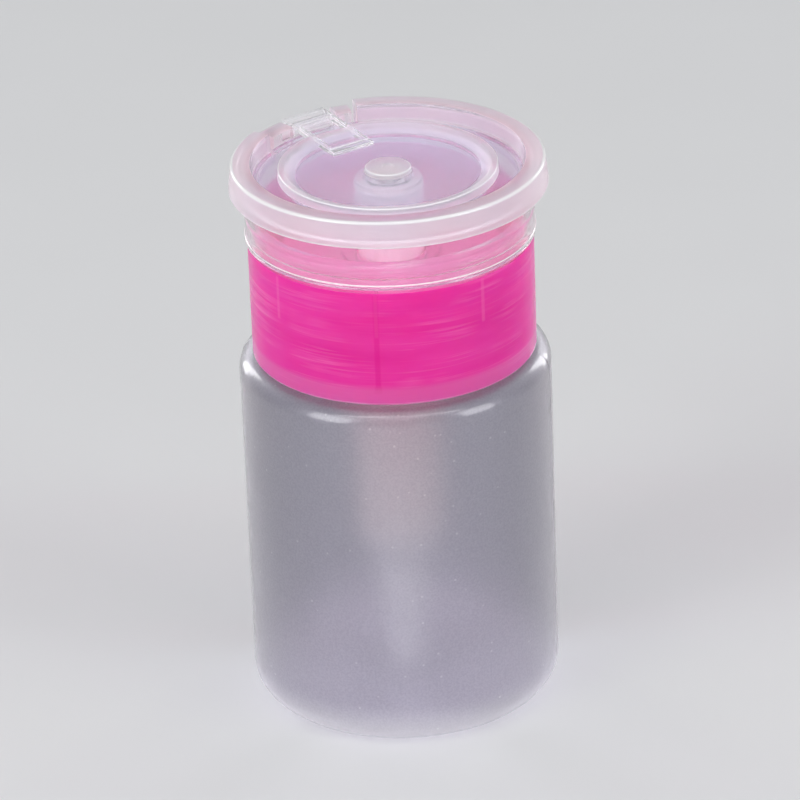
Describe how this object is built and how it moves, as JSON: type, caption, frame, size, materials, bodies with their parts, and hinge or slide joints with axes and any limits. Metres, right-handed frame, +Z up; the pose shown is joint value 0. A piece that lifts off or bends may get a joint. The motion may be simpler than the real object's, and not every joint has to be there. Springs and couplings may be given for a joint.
{
  "type": "push-down remover pump bottle",
  "caption": "Round frosted bottle with a pink screw collar, a clear flip-lid head and a press-dish pump with a dip tube.",
  "frame": {"origin": "middle of the bottle's base, on the surface that it stands on", "axes": "+Z up along the bottle, +Y towards the lid's hinge"},
  "size_m": [0.0456, 0.0453, 0.0836],
  "materials": {
    "frosted_bottle": "frosted translucent",
    "pink_collar": "glossy translucent pink",
    "clear_head": "clear natural plastic",
    "cream_stem": "satin",
    "natural_pump": "milky",
    "soft_seal": "soft matte",
    "spring_steel": "bright drawn"
  },
  "bodies": {
    "bottle": {"bottle": "frosted_bottle"},
    "pump": {"pump_cylinder": "natural_pump", "neck_gasket": "soft_seal", "retaining_ring": "natural_pump", "rod_wiper": "soft_seal", "return_spring": "spring_steel", "ball_cage": "natural_pump", "inlet_ball": "spring_steel", "dip_tube": "natural_pump"},
    "collar": {"collar": "pink_collar", "head_shell": "clear_head", "hinge_pin": "clear_head"},
    "press": {"stem": "cream_stem", "dish": "clear_head", "nozzle_cap": "clear_head", "outlet_ball": "spring_steel", "piston": "soft_seal"},
    "lid": {"lid": "clear_head"}
  },
  "joints": [
    {"name": "collar_unscrew", "type": "hinge", "parent": "pump", "child": "collar", "pos_m": [0, 0, 0.0615], "axis": [0, 0, 1], "range_deg": [0, 860]},
    {"name": "pump_lift", "type": "slide", "parent": "bottle", "child": "pump", "axis": [0, 0, 1], "range_m": [0, 0.0102]},
    {"name": "press_down", "type": "slide", "parent": "pump", "child": "press", "axis": [0, 0, -1], "range_m": [0, 0.005], "stiffness_N_per_m": 900, "springref_m": -0.003, "deforming": ["return_spring"]},
    {"name": "lid_hinge", "type": "hinge", "parent": "collar", "child": "lid", "pos_m": [0, 0.0205, 0.0815], "axis": [-1, 0, 0], "range_deg": [0, 130]}
  ],
  "couplings": [
    {"joint": "pump_lift", "follows": "collar_unscrew", "m_per_rad": 0.00066845}
  ]
}
